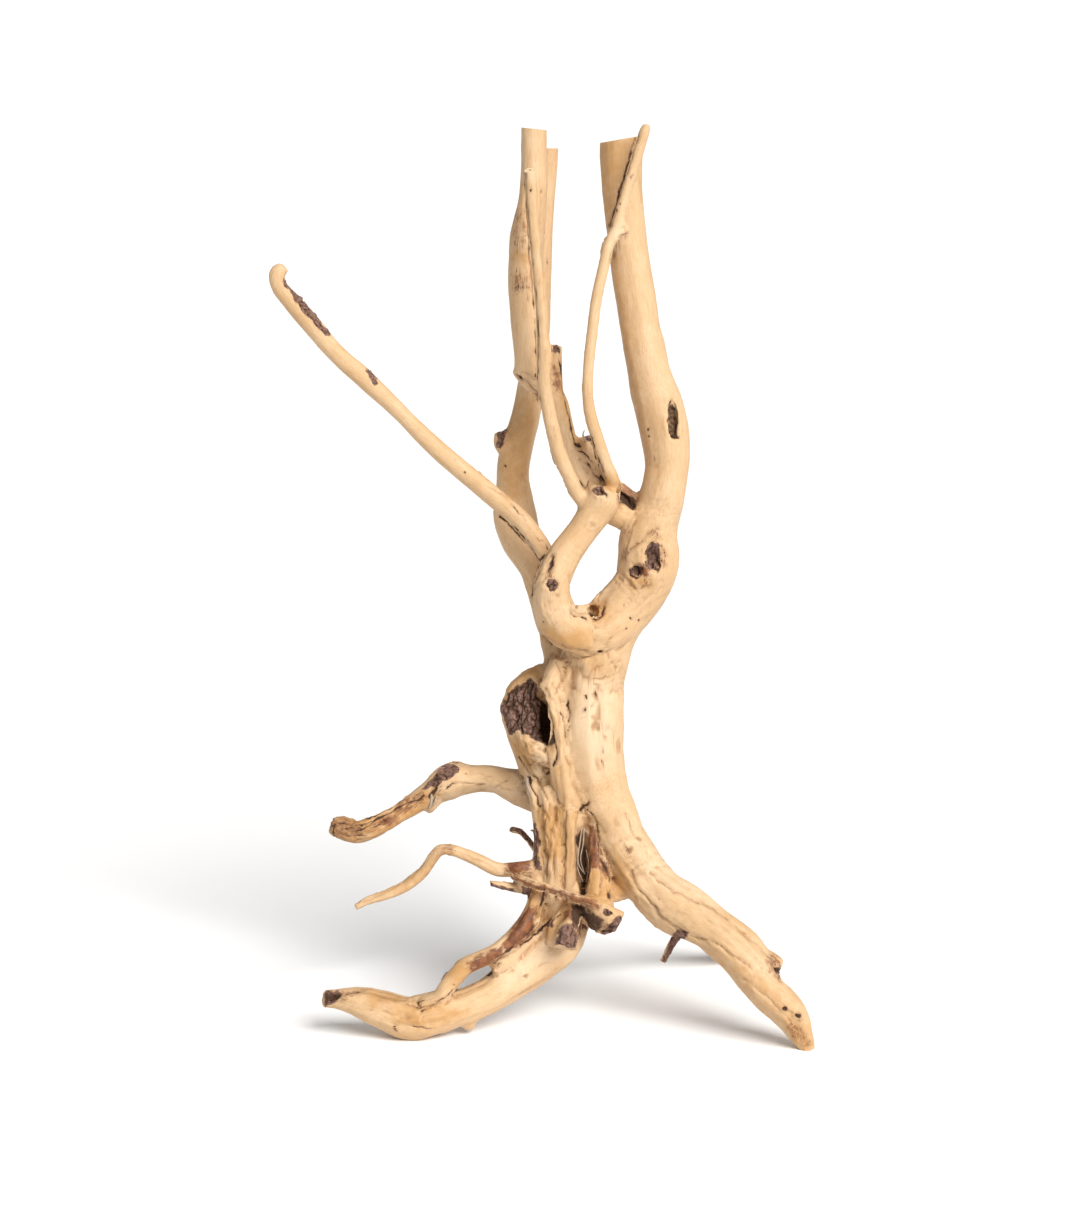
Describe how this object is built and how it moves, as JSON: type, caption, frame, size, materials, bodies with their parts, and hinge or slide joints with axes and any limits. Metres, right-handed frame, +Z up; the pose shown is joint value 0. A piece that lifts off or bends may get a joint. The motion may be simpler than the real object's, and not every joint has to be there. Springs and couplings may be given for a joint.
{
  "type": "tree stump",
  "caption": "Weathered, bark-stripped tree stump with a short trunk, upright sawn stems, thin branches and spreading roots that it stands on.",
  "frame": {"origin": "middle of the bounding box's footprint, on the ground that the three feet stand on", "axes": "+Z up along the stems; -Y towards the viewer of the picture, so the knotted side faces -Y; +X to that viewer's right, towards the thick right root"},
  "size_m": [0.2658, 0.1496, 0.4505],
  "materials": {
    "pale_wood": "dry, matt, bark-stripped wood"
  },
  "bodies": {
    "root": {"stump": "pale_wood"}
  },
  "joints": []
}
